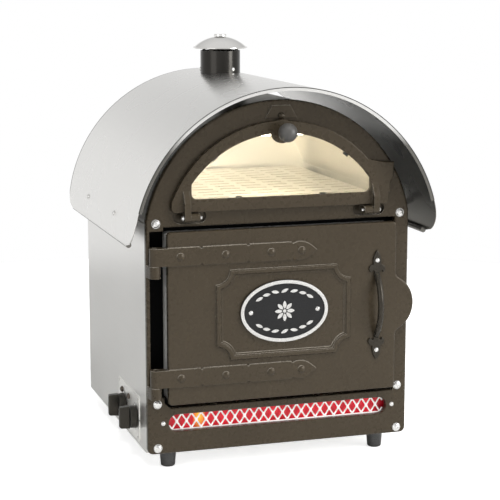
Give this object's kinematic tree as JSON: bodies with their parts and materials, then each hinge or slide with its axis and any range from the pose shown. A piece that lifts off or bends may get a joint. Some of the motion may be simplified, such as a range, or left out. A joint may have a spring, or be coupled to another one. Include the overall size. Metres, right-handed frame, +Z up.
{
  "type": "baked potato oven",
  "caption": "Countertop oven with an arched roof and chimney, a cast front with a lit display window that folds down, and a solid oven door on strap hinges.",
  "frame": {"origin": "on the worktop, at the middle of the outline of the whole oven seen from above", "axes": "+X to the viewer's right when facing the doors, +Y towards the back, +Z up"},
  "size_m": [0.5036, 0.505, 0.678],
  "materials": {
    "casting": "satin, dark brown-black",
    "stainless": "brushed",
    "oven_steel": "heat-dulled",
    "bright_wire": "polished",
    "screw_steel": "bright",
    "element_sheath": "heat-darkened",
    "wool": "matt mineral wool",
    "seal_rubber": "matt silicone",
    "badge_metal": "raised parts bright, field darkened",
    "mesh_enamel": "pale enamel",
    "red_glass": "lit translucent red",
    "lamp_glass": "lit, warm",
    "lamp_ceramic": "matt",
    "clear_glass": "clear, toughened",
    "black_plastic": "satin",
    "indicator_plastic": "clear amber lens"
  },
  "bodies": {
    "cabinet": {"fascia": "casting", "side_panel_left": "stainless", "side_panel_right": "stainless", "back_panel": "stainless", "base_pan": "stainless", "top_casing": "stainless", "roof_canopy": "stainless", "roof_brackets": "stainless", "roof_screws": "screw_steel", "flue_sleeve": "stainless", "chimney_tube": "stainless", "chimney_screws": "screw_steel", "cowl_dome": "stainless", "cowl_bracket": "stainless", "cowl_finial": "stainless", "mouth_frame": "oven_steel", "oven_liner": "oven_steel", "oven_insulation": "wool", "shelf_runners": "oven_steel", "wire_shelves": "bright_wire", "crumb_tray": "oven_steel", "top_element": "element_sheath", "bottom_element": "element_sheath", "thermostat_probe": "element_sheath", "display_liner": "stainless", "display_deck": "stainless", "display_lamp": "lamp_glass", "lamp_holders": "lamp_ceramic", "slot_mesh": "mesh_enamel", "glow_panel": "red_glass", "glow_lamp": "lamp_glass", "glow_lamp_holders": "lamp_ceramic", "window_hinge_pins": "screw_steel", "door_hinge_pins": "screw_steel", "catch_stud": "casting", "fascia_screws": "screw_steel", "slot_screws": "screw_steel", "control_plate": "stainless", "control_plate_screws": "screw_steel", "thermostat_body": "black_plastic", "timer_body": "black_plastic", "indicator_lamps": "indicator_plastic", "feet": "black_plastic", "terminal_block": "lamp_ceramic", "cable_gland": "black_plastic", "back_screws": "screw_steel"},
    "oven_door": {"door_casting": "casting", "door_inner_pan": "stainless", "door_insulation": "wool", "door_seal": "seal_rubber", "door_handle": "casting", "door_handle_screws": "screw_steel", "badge_plate": "badge_metal", "badge_screws": "screw_steel"},
    "window_door": {"window_frame": "casting", "window_glass": "clear_glass", "glass_clips": "stainless", "window_knob": "black_plastic"},
    "thermostat_dial": {"thermostat_knob": "black_plastic"},
    "timer_dial": {"timer_knob": "black_plastic"}
  },
  "joints": [
    {"name": "oven_door_hinge", "type": "hinge", "parent": "cabinet", "child": "oven_door", "pos_m": [-0.209, -0.2145, 0.254], "axis": [0, 0, -1], "range_deg": [0, 120]},
    {"name": "window_hinge", "type": "hinge", "parent": "cabinet", "child": "window_door", "pos_m": [0, -0.2145, 0.41], "axis": [1, 0, 0], "range_deg": [0, 75]},
    {"name": "thermostat_turn", "type": "hinge", "parent": "cabinet", "child": "thermostat_dial", "pos_m": [-0.235, -0.1235, 0.073], "axis": [1, 0, 0], "range_deg": [0, 270]},
    {"name": "timer_turn", "type": "hinge", "parent": "cabinet", "child": "timer_dial", "pos_m": [-0.235, -0.0435, 0.073], "axis": [1, 0, 0], "range_deg": [0, 300]}
  ]
}
